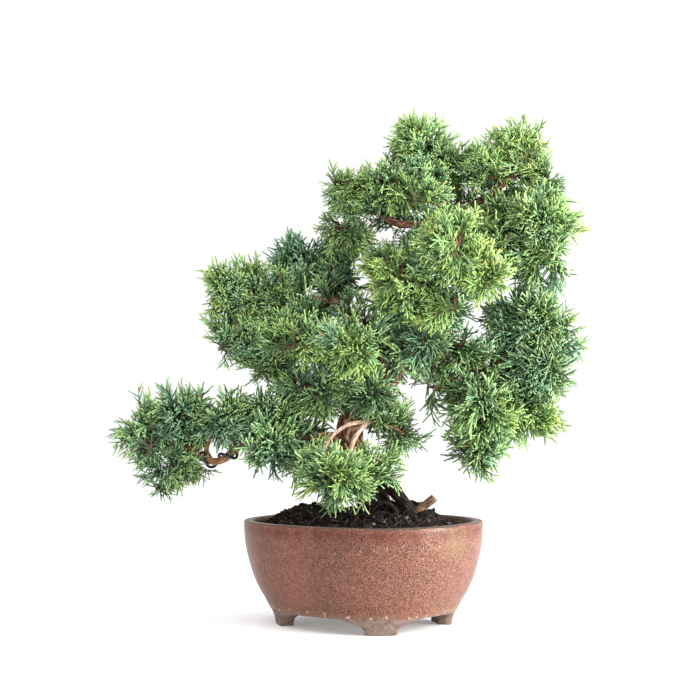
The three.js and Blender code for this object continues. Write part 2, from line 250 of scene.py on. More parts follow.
def bracket_foot(bm, corner):
    """One foot: a wall under the pot's base whose ogee sides draw in towards the ground."""
    # Height, half the angle that the foot spans, and how far out its face stands.
    outline = [
        (0.0, 0.196, 0.728), (0.0006, 0.214, 0.735), (0.0030, 0.226, 0.741), (0.0050, 0.262, 0.747),
        (0.0064, 0.330, 0.753), (0.0076, 0.410, 0.760), (0.0088, 0.490, 0.768), (0.0108, 0.540, 0.772),
    ]
    rings = []
    for z, half_angle, outer in outline:
        spread = [
            corner + half_angle * (2 * i / (FOOT_COLUMNS - 1) - 1) for i in range(FOOT_COLUMNS)
        ]
        loop = [on_pot(outer, angle, z) for angle in spread]
        loop += [on_pot(FOOT_INSIDE, angle, z) for angle in reversed(spread)]
        rings.append([bm.verts.new(point) for point in loop])
    join_rings(bm, rings)
    bm.faces.new(rings[0][::-1])
    bm.faces.new(rings[-1])


def stoneware():
    """Iron red glaze over buff stoneware: finely speckled all over, dark and streaky where it ran
    thin under the rim, worn to grey on the lip, and stopping short above the bare clay feet. The
    clear top of the glaze catches pale light along the sides."""
    material, tree, surface = new_material("iron red glazed stoneware")
    place = add(tree, "ShaderNodeTexCoord").outputs["Object"]
    sideways = add(tree, "ShaderNodeSeparateXYZ", {0: place}).outputs["X"]
    height = add(tree, "ShaderNodeSeparateXYZ", {0: place}).outputs["Z"]
    downwards = add(tree, "ShaderNodeMapping", {"Vector": place, "Scale": (1, 1, 0.25)})

    # Patches of 25 mm, clots of 3 mm, chips of 4 mm, and clay grain of 2.5 mm. The speckles are drawn
    # about 0.5 mm across, the finest that still show. Ragged streaks 13 mm apart and drips 8 mm
    # apart run down the wall.
    clouds = {
        name: add(tree, "ShaderNodeTexNoise", {"Vector": vector, "Scale": scale, "Detail": detail})
        for name, vector, scale, detail in (
            ("patches", place, 40, 4), ("clots", place, 320, 3), ("speckles", place, 1800, 2),
            ("chips", place, 260, 2), ("clay", place, 400, 3), ("ragged", downwards, 75, 4),
            ("drips", downwards, 120, 4),
        )
    }
    tones = {
        name: add(tree, "ShaderNodeValToRGB", {0: clouds[name]}, stops)
        for name, *stops in (
            ("patches", (0.36, "#4e2519"), (0.66, "#743f2d")),
            ("clots", (0.40, "#3e1e17"), (0.62, "#84513e")),
            ("speckles", (0.36, "#3a1b12"), (0.50, "#673c2c"), (0.66, "#dcbba6")),
            ("clay", (0.3, "#68554c"), (0.7, "#8c7a6f")),
        )
    }

    # The ragged heights at which the finish changes, from the height plus a little noise.
    ragged = clouds["ragged"]
    rough_height = add(
        tree, "ShaderNodeMath", {0: ragged, 1: 0.005, 2: height}, operation="MULTIPLY_ADD"
    )

    def above(start, end):
        """0 below start and 1 above end, in metres of ragged height."""
        return add(tree, "ShaderNodeMapRange", {0: rough_height, 1: start, 2: end})

    def near(angle, share, z, reach):
        """1 round one point on the pot's wall, fading to 0 at the reach, with a ragged outline."""
        middle = on_pot(share, angle, z)
        away = add(tree, "ShaderNodeVectorMath", {0: place, 1: middle}, operation="DISTANCE")
        rough_away = add(
            tree, "ShaderNodeMath", {0: ragged, 1: reach * 1.2, 2: away}, operation="MULTIPLY_ADD"
        )
        return add(
            tree, "ShaderNodeMapRange",
            {0: rough_away, 1: reach * 0.9, 2: reach * 1.6, 3: 1.0, 4: 0.0},
        )

    # There are more speckles towards +X, the right of the pot as the camera sees it, than towards its
    # left.
    more_speckle_to_right = add(tree, "ShaderNodeMapRange", {0: sideways, 1: -0.05, 2: 0.045, 3: 0.20, 4: 0.40})
    drips = add(
        tree, "ShaderNodeMapRange", {0: clouds["drips"], 1: 0.35, 2: 0.65, 3: 0.2, 4: 0.95}
    )
    chips = add(tree, "ShaderNodeMapRange", {0: clouds["chips"], 1: 0.62, 2: 0.67})
    glazed = above(0.0122, 0.0130)
    thin_edge = (glazed, above(0.0160, 0.0134), 0.6)
    under_rim = above(POT_HEIGHT - 0.0075, POT_HEIGHT - 0.0015)
    below_lip = above(POT_HEIGHT + 0.002, POT_HEIGHT - 0.001)

    # The glaze's colours from the lowest coat up, each with the shares whose product says how much
    # of it shows: clots, speckles, the dark run under the rim, an olive smear, a pit, the worn lip,
    # and the thin edge above the feet with its chips.
    coats = [
        (tones["clots"], 0.3),
        (tones["speckles"], more_speckle_to_right),
        (linear("#572419"), under_rim, below_lip, drips),
        (linear("#7d6c4a"), near(6.2, 0.993, 0.053, 0.015), 0.3),
        (linear("#2c1d18"), near(4.62, 0.93, 0.033, 0.0009)),
        (linear("#4d3b31"), above(POT_HEIGHT + 0.0014, POT_HEIGHT + 0.0022)),
        (linear("#7c5c44"), *thin_edge),
        (linear("#d8cbbd"), *thin_edge, chips),
    ]
    glaze = tones["patches"]
    for colour, amount, *shares in coats:
        for share in shares:
            amount = add(tree, "ShaderNodeMath", {0: amount, 1: share}, operation="MULTIPLY")
        glaze = add(tree, "ShaderNodeMix", {0: amount, 6: glaze, 7: colour}, data_type="RGBA")

    fill(surface, {
        "Base Color": add(
            tree, "ShaderNodeMix", {0: glazed, 6: tones["clay"], 7: glaze}, data_type="RGBA"
        ),
        "Roughness": add(tree, "ShaderNodeMapRange", {0: glazed, 3: 0.9, 4: 0.42}),
        "Specular IOR Level": 0.1,
        "Coat Weight": add(tree, "ShaderNodeMath", {0: glazed, 1: 0.28}, operation="MULTIPLY"),
        "Coat Roughness": 0.28,
        "Normal": add(
            tree, "ShaderNodeBump",
            {"Height": clouds["speckles"], "Strength": 0.3, "Distance": 0.0004},
        ),
    })
    return material


pot_bmesh = bmesh.new()
# From the foot up the outside, over the lip and down the inside.
wall_profile = smooth_profile([
    (0.70, FOOT_HEIGHT), (0.764, FOOT_HEIGHT + 0.0002), (0.784, FOOT_HEIGHT + 0.0014), (0.826, 0.016),
    (0.894, 0.025), (0.949, 0.036), (0.987, 0.048), (0.999, 0.057), (1.0, POT_HEIGHT - 0.0016),
    (0.995, POT_HEIGHT - 0.0004), (0.984, POT_HEIGHT), (0.935, POT_HEIGHT),
    (0.924, POT_HEIGHT - 0.0006), (0.917, 0.0605), (0.90, 0.048), (0.858, 0.036), (0.795, 0.025),
    (0.72, 0.017), (0.65, FLOOR_TOP),
])
lathe(pot_bmesh, [(0, FOOT_HEIGHT), *wall_profile, (0, FLOOR_TOP)], POT_SIDES)
for eighths in (1, 3, 5, 7):
    bracket_foot(pot_bmesh, eighths * math.pi / 4)
pot = finished("glazed_pot", pot_bmesh, stoneware())
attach(pot, "root")
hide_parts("pot")


# ---- Drain screens and clips ------------------------------------------------------------------
# Squares of black plastic mesh over the two drain holes, under the soil, each held by a staple of
# coated wire pushed through the hole and bent out under the floor.

def plain(name, dark, light, roughness, grain, specular=0.5):
    """A simple finish whose colour varies a little over a grain of the given size in metres."""
    material, tree, surface = new_material(name)
    place = add(tree, "ShaderNodeTexCoord").outputs["Object"]
    cloud = add(tree, "ShaderNodeTexNoise", {"Vector": place, "Scale": 1 / grain, "Detail": 4})
    tone = add(tree, "ShaderNodeValToRGB", {0: cloud}, [(0, dark), (1, light)])
    fill(surface, {"Base Color": tone, "Roughness": roughness, "Specular IOR Level": specular})
    return material


# Moulded plastic, dull black, and aluminium wire with a satin black coat.
mesh_plastic = plain("black polyethylene mesh", "#1c1c1e", "#303134", 0.55, 0.004)
coated_wire = plain("black coated aluminium wire", "#161416", "#2e2a2b", 0.42, 0.003)
for side in ("left", "right"):
    for part, finish in (("drain_screen", mesh_plastic), ("screen_clip", coated_wire)):
        materials = frame["nodes"][f"{part}_{side}"].data.materials
        materials.clear()
        materials.append(finish)


# ---- Trunk and branches -----------------------------------------------------------------------
# Juniper wood grown in bends, with thin red-brown bark that flakes in strips along it. The bark
# turns near black towards the base, and one root in front on the right was sawn off.

LIMB_STEP = 0.002
CURVE_STEPS = 24
BARK_LIFT = 0.0012
DARK_FOOT_FADE = 0.016


def branch_along(points, step, thick, thin, bulge=1.0):
    """A branch: its route through these points, and its radius at both ends, all in metres. With a
    bulge below 1 it thins fastest at its foot."""
    return {"route": even_route(points, step), "thick": thick, "thin": thin, "bulge": bulge}


def limb(points, thick, thin, bulge=1.0):
    """A branch whose route, from the pot's middle, and radii are in millimetres."""
    route = [pot_middle + Vector(point) * 0.001 for point in points]
    return branch_along(route, LIMB_STEP, thick / 1000, thin / 1000, bulge)


def even_route(points, step):
    """Evenly spaced points on one smooth curve through all of these."""
    ends = [2 * points[0] - points[1], *points, 2 * points[-1] - points[-2]]
    dense = []
    for a, b, c, d in zip(ends, ends[1:], ends[2:], ends[3:]):
        knots = [0.0]
        for p, q in ((a, b), (b, c), (c, d)):
            knots.append(knots[-1] + (q - p).length ** 0.5)
        for i in range(CURVE_STEPS):
            t = knots[1] + (knots[2] - knots[1]) * i / CURVE_STEPS

            def mix(p, q, start, end):
                return p + (q - p) * ((t - knots[start]) / (knots[end] - knots[start]))

            ab, bc, cd = mix(a, b, 0, 1), mix(b, c, 1, 2), mix(c, d, 2, 3)
            dense.append(mix(mix(ab, bc, 0, 2), mix(bc, cd, 1, 3), 1, 2))
    dense.append(points[-1])
    travelled = [0.0]
    for a, b in zip(dense, dense[1:]):
        travelled.append(travelled[-1] + (b - a).length)
    count = max(3, round(travelled[-1] / step))
    route, at = [], 0
    for i in range(count + 1):
        target = travelled[-1] * i / count
        while at < len(dense) - 2 and travelled[at + 1] < target:
            at += 1
        span = travelled[at + 1] - travelled[at]
        route.append(dense[at].lerp(dense[at + 1], (target - travelled[at]) / span if span else 0))
    return route


def radius_at(branch, share):
    """A branch's radius, share of the way along it."""
    return branch["thick"] + (branch["thin"] - branch["thick"]) * share ** branch["bulge"]


low_left = limb([
    (-4, -2, 114), (-21, -3, 115), (-37, -3, 115), (-49, -1, 117), (-63, 0, 117), (-73, 0, 113),
    (-80, -1, 106), (-88, -2, 101), (-97, -1, 102), (-107, 0, 109), (-120, 0, 113),
], 3.8, 1.6)

trunk = limb([
    (13, 0, 50), (9, 0, 68), (5, -1, 82), (-1, -1, 96), (-6, -2, 110), (-7, -2, 122), (0, 0, 135),
    (11, 2, 144), (21, 4, 154), (29, 5, 171), (40, 6, 194), (49, 6, 219), (54, 4, 243), (52, 1, 262),
    (46, 0, 275), (40, 0, 290),
], 16, 1.6, 0.42)

wired_limbs = [
    low_left,
    limb([(-93, -1, 101), (-96, -1, 108), (-94, 0, 114), (-91, 0, 122)], 1.7, 1.2),
]
pale_limbs = [
    limb([(-5, -3, 124), (7, -10, 126), (2, -19, 123), (-5, -28, 113), (-8, -32, 101)], 2.1, 1.1),
    limb([(3, -17, 124.5), (-8, -25, 123), (-18, -29, 116), (-24, -31, 104)], 1.4, 0.8),
]
limbs = [
    trunk,
    limb([(-46, -2, 115), (-47, -2, 127), (-46, 0, 138), (-42, 0, 147), (-49, 0, 160), (-63, -3, 171)],
         3.2, 1.8),
    limb([(19, 2, 151), (9, 0, 168), (-2, 0, 184), (-15, 2, 196), (-32, 3, 200), (-49, 3, 201),
          (-68, 0, 203)], 5.4, 1.9),
    limb([(5, 0, 173), (1, -15, 171), (-7, -26, 168)], 2.6, 1.6),
    limb([(-12, 2, 194), (-20, 15, 207), (-29, 25, 220)], 2.6, 1.6),
    limb([(-24, 3, 199), (-30, -9, 190), (-37, -19, 181)], 2.3, 1.5),
    limb([(2, -9, 125), (9, -10, 125), (16, -10, 122), (23, -9, 119)], 2, 1.3),
    limb([(47, 6, 211), (50, -9, 217), (53, -24, 221), (56, -34, 225)], 3.6, 1.8),
    limb([(42, 7, 199), (38, -9, 204), (29, -26, 207)], 3, 1.7),
    limb([(29, 5, 173), (44, 3, 165), (60, 0, 159), (75, 0, 157), (89, 0, 153), (100, 0, 143)], 4.6, 1.9),
    limb([(80, 0, 156), (93, 2, 166), (106, 3, 172)], 2.6, 1.6),
    limb([(88, 0, 154), (101, 17, 165), (108, 29, 171)], 2.5, 1.5),
    limb([(53, 5, 238), (69, 6, 233), (88, 5, 236), (103, 0, 239), (112, -2, 241)], 3.3, 1.6),
    limb([(53, 2, 254), (66, 5, 258), (78, 3, 262), (89, 0, 271), (97, 0, 279), (101, 0, 287)], 3.3, 1.6),
    limb([(53, 4, 249), (41, 3, 248), (25, 0, 247), (13, 0, 253), (1, 0, 259)], 3.1, 1.7),
    limb([(38, 7, 191), (38, 24, 194), (37, 36, 196)], 3.2, 1.9),
    limb([(50, 5, 233), (54, 21, 239), (55, 34, 242)], 2.9, 1.8),
    limb([(16, 3, 147), (13, 21, 156), (11, 33, 160)], 3.3, 1.9),
]
sawn_root = limb([(13, -2, 58), (24, -11, 62), (32, -14, 68), (38, -14, 73), (44, -15, 78)], 3.6, 2.5)
roots = [
    limb([(9, -5, 96), (17, -9, 86), (24, -12, 77), (31, -13, 69)], 5.0, 3.4),
    limb([(5, -6, 60), (5, -17, 69), (10, -20, 75), (16, -20, 75), (21, -20, 70), (25, -19, 62)],
         1.6, 1.1),
    limb([(9, 0, 74), (-4, -6, 68), (-17, -12, 63)], 5, 2),
    limb([(9, 2, 74), (4, 14, 69), (-4, 24, 62)], 5, 2),
    limb([(12, 2, 72), (25, 9, 68), (37, 15, 62)], 5, 2),
]


def new_geometry_tree(name, inputs):
    """An empty geometry tree that takes a geometry and these named inputs."""
    tree = bpy.data.node_groups.new(name, "GeometryNodeTree")
    tree.interface.new_socket("Geometry", in_out="INPUT", socket_type="NodeSocketGeometry")
    for label, kind in inputs.items():
        tree.interface.new_socket(label, in_out="INPUT", socket_type="NodeSocket" + kind)
    tree.interface.new_socket("Geometry", in_out="OUTPUT", socket_type="NodeSocketGeometry")
    return tree, tree.nodes.new("NodeGroupInput").outputs


def end_tree(tree, geometry, finish):
    """Ends a geometry tree: its instances are made real and take their finish."""
    real = add(tree, "GeometryNodeRealizeInstances", {"Geometry": geometry})
    done = add(tree, "GeometryNodeSetMaterial", {"Geometry": real, "Material": finish})
    add(tree, "NodeGroupOutput", {"Geometry": done})


def apply_tree(source, tree, values, name):
    """Runs a geometry tree on an object and returns the result as a plain mesh object."""
    modifier = source.modifiers.new("shape", "NODES")
    modifier.node_group = tree
    for item in tree.interface.items_tree:
        if item.in_out == "INPUT" and item.name in values:
            modifier[item.identifier] = values[item.name]
    evaluated = source.evaluated_get(bpy.context.evaluated_depsgraph_get())
    mesh = bpy.data.meshes.new_from_object(evaluated)
    mesh.name = name
    bpy.data.objects.remove(source)
    piece = bpy.data.objects.new(name, mesh)
    bpy.context.collection.objects.link(piece)
    return piece


def curves(name, branches):
    """Branches as one curve object, with each point's radius on it."""
    data = bpy.data.curves.new(name, "CURVE")
    data.dimensions = "3D"
    for branch in branches:
        spline = data.splines.new("POLY")
        last = len(branch["route"]) - 1
        spline.points.add(last)
        for i, place in enumerate(branch["route"]):
            spline.points[i].co = (*place, 1)
            spline.points[i].radius = radius_at(branch, i / last)
    source = bpy.data.objects.new(name, data)
    bpy.context.collection.objects.link(source)
    return source


def store(tree, geometry, values):
    """Stores named numbers on a geometry's points, one after another."""
    for label, value in values.items():
        geometry = add(
            tree, "GeometryNodeStoreNamedAttribute",
            {"Geometry": geometry, "Name": label, "Value": value}, data_type="FLOAT",
        )
    return geometry


def bark_tree():
    """Sweeps a round section along each curve, then lifts strips of bark that run along it."""
    tree, given = new_geometry_tree(
        "bark along a branch", {"Sides": "Int", "Flaking": "Float", "Bark": "Material"}
    )
    radius = add(tree, "GeometryNodeInputRadius")
    length = add(tree, "GeometryNodeSplineParameter").outputs["Length"]
    path = store(tree, given["Geometry"], {"thickness": radius, "along": length})
    circle = add(tree, "GeometryNodeCurvePrimitiveCircle", {"Resolution": given["Sides"], "Radius": 1.0})
    section = add(
        tree, "GeometryNodeStoreNamedAttribute",
        {"Geometry": circle, "Name": "ring", "Value": add(tree, "GeometryNodeInputPosition")},
        data_type="FLOAT_VECTOR",
    )
    tube = add(
        tree, "GeometryNodeCurveToMesh",
        {"Curve": path, "Profile Curve": section, "Scale": radius, "Fill Caps": True},
    )
    ring = add(tree, "GeometryNodeInputNamedAttribute", {"Name": "ring"}, data_type="FLOAT_VECTOR")
    along = add(tree, "GeometryNodeInputNamedAttribute", {"Name": "along"}, data_type="FLOAT")
    # Strips about 5 mm long, fifteen of them round the branch, so that they narrow as it does.
    lengthwise = add(tree, "ShaderNodeMath", {0: along, 1: 90.0}, operation="MULTIPLY")
    up = add(tree, "ShaderNodeCombineXYZ", {"Z": lengthwise})
    grain = add(tree, "ShaderNodeVectorMath", {0: ring, 1: up}, operation="ADD")
    strips = add(tree, "ShaderNodeTexNoise", {"Vector": grain, "Scale": 2.4, "Detail": 5.0})
    thickness = add(tree, "GeometryNodeInputNamedAttribute", {"Name": "thickness"}, data_type="FLOAT")
    lift = add(tree, "ShaderNodeMath", {0: strips, 1: 0.5}, operation="SUBTRACT")
    for amount in (given["Flaking"], thickness):
        lift = add(tree, "ShaderNodeMath", {0: lift, 1: amount}, operation="MULTIPLY")
    normal = add(tree, "GeometryNodeInputNormal")
    out = add(tree, "ShaderNodeVectorMath", {0: normal, 3: lift}, operation="SCALE")
    moved = add(tree, "GeometryNodeSetPosition", {"Geometry": tube, "Offset": out})
    smooth = add(tree, "GeometryNodeSetShadeSmooth", {"Geometry": moved})
    end_tree(tree, smooth, given["Bark"])
    return tree


def juniper_bark(name, light, dark, flake, dark_foot_height=-1.0):
    """Stringy juniper bark: red-brown strips with grey-buff flakes, the dark ones near black towards the
    foot.
    """
    material, tree, surface = new_material(name)
    place = add(tree, "ShaderNodeTexCoord").outputs["Object"]
    ring = add(tree, "ShaderNodeAttribute", attribute_name="ring").outputs["Vector"]
    along = add(tree, "ShaderNodeAttribute", attribute_name="along").outputs["Fac"]
    # Strips about 4 mm long, twenty-five of them round the branch, so that they narrow as it does.
    lengthwise = add(tree, "ShaderNodeMath", {0: along, 1: 60.0}, operation="MULTIPLY")
    up = add(tree, "ShaderNodeCombineXYZ", {"Z": lengthwise})
    grain = add(tree, "ShaderNodeVectorMath", {0: ring, 1: up}, operation="ADD")
    strips = add(tree, "ShaderNodeTexNoise", {"Vector": grain, "Scale": 4.0, "Detail": 6.0})
    tone = add(
        tree, "ShaderNodeValToRGB", {0: strips}, [(0.36, dark), (0.5, light), (0.68, flake)]
    )
    height = add(tree, "ShaderNodeSeparateXYZ", {0: place}).outputs["Z"]
    # Below the given height the dark strips turn near black, so the bark is darker towards its foot.
    damp = add(tree, "ShaderNodeMapRange", {0: height, 1: dark_foot_height + DARK_FOOT_FADE, 2: dark_foot_height})
    dark_strips = add(tree, "ShaderNodeMapRange", {0: strips, 1: 0.5, 2: 0.68, 3: 1.0, 4: 0.8})
    black = add(tree, "ShaderNodeMath", {0: damp, 1: dark_strips}, operation="MULTIPLY")
    fill(surface, {
        "Base Color": add(
            tree, "ShaderNodeMix", {0: black, 6: tone, 7: linear("#0f0b0a")}, data_type="RGBA"
        ),
        "Roughness": 0.85,
        "Specular IOR Level": 0.25,
        "Normal": add(
            tree, "ShaderNodeBump", {"Height": strips, "Strength": 0.8, "Distance": BARK_LIFT}
        ),
    })
    return material


bark_along = bark_tree()
# Old wood is red-brown with buff flakes and near black towards its foot, young wood is warmer and
# lighter, weathered twigs are pale, and the sawn root is a dull earth brown. All of it is matt.
old_bark = juniper_bark("flaking juniper bark", "#7b513c", "#3a261e", "#b99c84", 0.094)
young_bark = juniper_bark("young juniper bark", "#93694c", "#593b2b", "#c3a283")
pale_bark = juniper_bark("bare weathered twig bark", "#b8957f", "#7d5b49", "#e2d0c0")
root_bark = juniper_bark("dry root bark", "#6d5140", "#3a2a21", "#a3856b")


def swept(name, branches, sides, flaking, finish):
    """Branches, fibres or wire as one piece, each a round section along its route."""
    values = {"Sides": sides, "Flaking": flaking, "Bark": finish}
    return apply_tree(curves(name, branches), bark_along, values, name)


def wooden(name, branches, sides, flaking, finish):
    """Branches as one piece of wood that moves with the pot."""
    piece = swept(name, branches, sides, flaking, finish)
    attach(piece, "root")
    return piece


trunk_wood = wooden("trunk_and_limbs", limbs + roots, 22, 0.6, old_bark)
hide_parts("trunk_and_branches")
wooden("wired_branch", wired_limbs, 14, 0.5, young_bark)
wooden("bare_front_branches", pale_limbs, 12, 0.4, pale_bark)
wooden("sawn_root_stub", [sawn_root], 16, 0.5, root_bark)


# ---- Soil -------------------------------------------------------------------------------------
# Dark peaty compost, heaped round the roots and pressed down: the rough body that fills the pot,
# with a small gap to its wall.

SOIL_EDGE = 0.0592
SOIL_MIDDLE = 0.070
SOIL_GAP = 0.00035
SOIL_SIDES = 132
SOIL_RINGS = 44
SOIL_REACH = 0.907
WALL_GAP = 0.006
SOIL_SETTLED = 0.0006
# Heaps and a hollow in the soil: their middles, heights and reaches.
HEAPS = [
    (pot_middle + Vector((0.033, -0.004, 0)), 0.008, 0.015),
    (pot_middle + Vector((-0.042, 0.014, 0)), 0.007, 0.020),
    (pot_middle + Vector((0.060, 0.006, 0)), -0.005, 0.017),
    (pot_middle + Vector((0.014, -0.008, 0)), 0.004, 0.012),
]


def soil_height(place, share):
    """The soil's height at a place, share of the way from its middle to its edge."""
    rise = (SOIL_MIDDLE - SOIL_EDGE) * (1 - share**2.2)
    ground = Vector((place.x, place.y, 0))
    heap = sum(
        height * math.exp(-(((ground - middle).length / reach) ** 2)) for middle, height, reach in HEAPS
    )
    rough = 0.0030 * noise.noise(ground * 160) + 0.0016 * noise.noise(ground * 420)
    return SOIL_EDGE + rise + heap * (1 - share**4) + rough * (1 - share**6) - SOIL_SETTLED


# Peat that holds water, so it is nearly black, with hardly any shine.
compost = plain("damp peat compost", "#070505", "#1e1613", 0.95, 0.0015, 0.15)
soil_bmesh = bmesh.new()
wall = [(0.65, FLOOR_TOP + SOIL_GAP), (0.72, 0.017), (0.795, 0.025), (0.858, 0.036), (0.90, 0.048)]
surface_shares = [1 - i / SOIL_RINGS for i in range(SOIL_RINGS)]
rows = [(0, FLOOR_TOP + SOIL_GAP), *[(share - WALL_GAP, z) for share, z in wall]]
rows += [(SOIL_REACH * share, SOIL_EDGE) for share in surface_shares]
rings, (_, summit) = lathe(soil_bmesh, [*rows, (0, SOIL_EDGE)], SOIL_SIDES)
for share, ring in zip(surface_shares, rings[len(wall):]):
    for vertex in ring:
        vertex.co.z = soil_height(vertex.co, share)
summit.co.z = soil_height(summit.co, 0)
soil = finished("soil_body", soil_bmesh, compost)
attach(soil, "root")
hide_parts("soil")


# ---- Loose soil -------------------------------------------------------------------------------
# Crumbs of peat and grit scattered over the soil, and fine root fibres and bits of dead twig that
# stick out of it. They lie loose, up to a couple of millimetres across.

CRUMB_KINDS = 5
CRUMB_RADIUS = 0.0005
CRUMBS_PER_SQUARE_METRE = 330_000
FIBRES = 520
FIBRE_STEP = 0.0015
FIBRE_TIP = 0.00008


def random_vector(dice, low, high):
    """A random vector between two corners."""
    return Vector([dice.uniform(a, b) for a, b in zip(low, high)])


def crumb(dice, name):
    """A pebble of peat about a millimetre across: twenty uneven faces."""
    bm = bmesh.new()
    bmesh.ops.create_icosphere(bm, subdivisions=1, radius=CRUMB_RADIUS)
    stretch = random_vector(dice, (0.7, 0.7, 0.5), (1.3, 1.3, 0.9))
    for vertex in bm.verts:
        vertex.co *= dice.uniform(0.7, 1.25)
        vertex.co *= stretch
    return finished(name, bm, compost, smooth=False)


def kinds(name, pieces):
    """A hidden collection of shapes for a geometry tree to pick from."""
    group = bpy.data.collections.new(name)
    for piece in pieces:
        bpy.context.collection.objects.unlink(piece)
        group.objects.link(piece)
    return group


def discard(group):
    """Removes a collection of shapes once they have been placed."""
    for piece in list(group.objects):
        bpy.data.objects.remove(piece)
    bpy.data.collections.remove(group)


def set_on_points(tree, points, group, kind, turn, size):
    """Sets one of a collection's shapes on each point, turned and sized."""
    shapes = add(
        tree, "GeometryNodeCollectionInfo",
        {"Collection": group, "Separate Children": True, "Reset Children": True},
    )
    return add(
        tree, "GeometryNodeInstanceOnPoints",
        {"Points": points, "Instance": shapes, "Pick Instance": True, "Instance Index": kind,
         "Rotation": turn, "Scale": size},
    )


def scatter_tree():
    """Scatters shapes over the upward faces of a surface, each turned and sized at random."""
    tree, given = new_geometry_tree("crumbs over soil", {
        "Shapes": "Collection", "Density": "Float", "Lowest": "Float", "Finish": "Material",
    })
    position = add(tree, "GeometryNodeInputPosition")
    normal = add(tree, "GeometryNodeInputNormal")
    high = add(tree, "ShaderNodeSeparateXYZ", {0: position}).outputs["Z"]
    level = add(tree, "ShaderNodeSeparateXYZ", {0: normal}).outputs["Z"]
    is_high = add(tree, "ShaderNodeMath", {0: high, 1: given["Lowest"]}, operation="GREATER_THAN")
    is_level = add(tree, "ShaderNodeMath", {0: level, 1: 0.3}, operation="GREATER_THAN")
    top = add(tree, "ShaderNodeMath", {0: is_high, 1: is_level}, operation="MULTIPLY")
    points = add(
        tree, "GeometryNodeDistributePointsOnFaces",
        {"Mesh": given["Geometry"], "Selection": top, "Density": given["Density"], "Seed": 4},
    )
    shade = add(tree, "FunctionNodeRandomValue", {2: 0.0, 3: 1.0, 8: 1}, data_type="FLOAT")
    whole_turns = {0: (0, 0, 0), 1: (math.tau, math.tau, math.tau), 8: 2}
    turn = add(tree, "FunctionNodeRandomValue", whole_turns, data_type="FLOAT_VECTOR")
    rotation = add(tree, "FunctionNodeEulerToRotation", {0: turn})
    kind = add(tree, "FunctionNodeRandomValue", {4: 0, 5: CRUMB_KINDS - 1, 8: 5}, data_type="INT")
    # A high power keeps most crumbs small, with a few large ones.
    luck = add(tree, "FunctionNodeRandomValue", {2: 0.0, 3: 1.0, 8: 3}, data_type="FLOAT")
    few = add(tree, "ShaderNodeMath", {0: luck, 1: 5.0}, operation="POWER")
    size = add(tree, "ShaderNodeMath", {0: few, 1: 3.4, 2: 0.8}, operation="MULTIPLY_ADD")
    shaded = store(tree, points, {"shade": shade})
    end_tree(tree, set_on_points(tree, shaded, given["Shapes"], kind, rotation, size), given["Finish"])
    return tree


def loose_peat():
    """Peat crumbs: most nearly black with damp, some dry and brown, a few pale grains of grit."""
    material, tree, surface = new_material("crumbs of damp peat and grit")
    shade = add(tree, "ShaderNodeAttribute", attribute_name="shade").outputs["Fac"]
    tone = add(tree, "ShaderNodeValToRGB", {0: shade}, [
        (0, "#060404"), (0.6, "#120c0b"), (0.92, "#261c18"), (0.985, "#4c3c31"), (1, "#8a7a66"),
    ])
    fill(surface, {"Base Color": tone, "Roughness": 0.8, "Specular IOR Level": 0.2})
    return material


dice = random.Random(11)
crumbs = kinds("crumbs", [crumb(dice, f"crumb_{i}") for i in range(CRUMB_KINDS)])
soil_copy = bpy.data.objects.new("soil_copy", soil.data.copy())
bpy.context.collection.objects.link(soil_copy)
loose_soil = apply_tree(
    soil_copy, scatter_tree(),
    {"Shapes": crumbs, "Density": CRUMBS_PER_SQUARE_METRE, "Lowest": SOIL_EDGE - 0.004,
     "Finish": loose_peat()},
    "peat_crumbs",
)
discard(crumbs)
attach(loose_soil, "root")

fibre_curves = []
for i in range(FIBRES):
    share = dice.random() ** 0.5 * 0.9
    start = on_pot(share, dice.uniform(0, math.tau), 0)
    start.z = soil_height(start, share / SOIL_REACH) - 0.001
    reach = dice.uniform(2.5, 8.0) / 1000
    lean = random_vector(dice, (-1, -1, 0.25), (1, 1, 1)).normalized()
    bend = random_vector(dice, (-1, -1, -0.8), (1, 1, 0.1)) * reach * 0.4
    points = [start, start + lean * reach * 0.6, start + lean * reach + bend]
    thick = dice.uniform(0.12, 0.42) / 1000
    fibre_curves.append(branch_along(points, FIBRE_STEP, thick, FIBRE_TIP))
# Dried roots, matt, from dark brown to straw.
dry_fibre = plain("dry root fibre", "#2a1d18", "#7d6350", 0.9, 0.006)
fibres = swept("root_fibres", fibre_curves, 3, 0.0, dry_fibre)
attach(fibres, "root")


# ---- Training wire ----------------------------------------------------------------------------
# Soft black aluminium wire wound in a wide coil along the low left branch, to hold it in the bend
# it was given.

WIRE_RADIUS = 0.0009
WIRE_GAP = 0.00035
WIRE_PITCH = 0.014
WIRE_START = 0.14
WIRE_END = 0.94
WIRE_STEPS_PER_TURN = 24

branch_route = low_left["route"]
branch_length = sum((b - a).length for a, b in zip(branch_route, branch_route[1:]))
turns = (WIRE_END - WIRE_START) * branch_length / WIRE_PITCH
steps = round(turns * WIRE_STEPS_PER_TURN)
coil = []
for i in range(steps + 1):
    share = WIRE_START + (WIRE_END - WIRE_START) * i / steps
    spot = share * (len(branch_route) - 1)
    before = min(int(spot), len(branch_route) - 2)
    tangent = (branch_route[before + 1] - branch_route[before]).normalized()
    side = Vector((0, 1, 0)).cross(tangent).normalized()
    other = tangent.cross(side)
    reach = radius_at(low_left, share) + WIRE_RADIUS + 2 * WIRE_GAP
    angle = i / steps * turns * math.tau
    middle = branch_route[before].lerp(branch_route[before + 1], spot - before)
    coil.append(middle + side * math.cos(angle) * reach + other * math.sin(angle) * reach)
wound = {"route": coil, "thick": WIRE_RADIUS, "thin": WIRE_RADIUS, "bulge": 1.0}
wire = swept("training_wire_coil", [wound], 12, 0.0, coated_wire)
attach(wire, "root")
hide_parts("training_wire")


# ---- Twigs ------------------------------------------------------------------------------------
# Thin brown twigs that fork off the limbs into each branch's foliage and end just inside it. The
# green shoots grow along the outer ones.

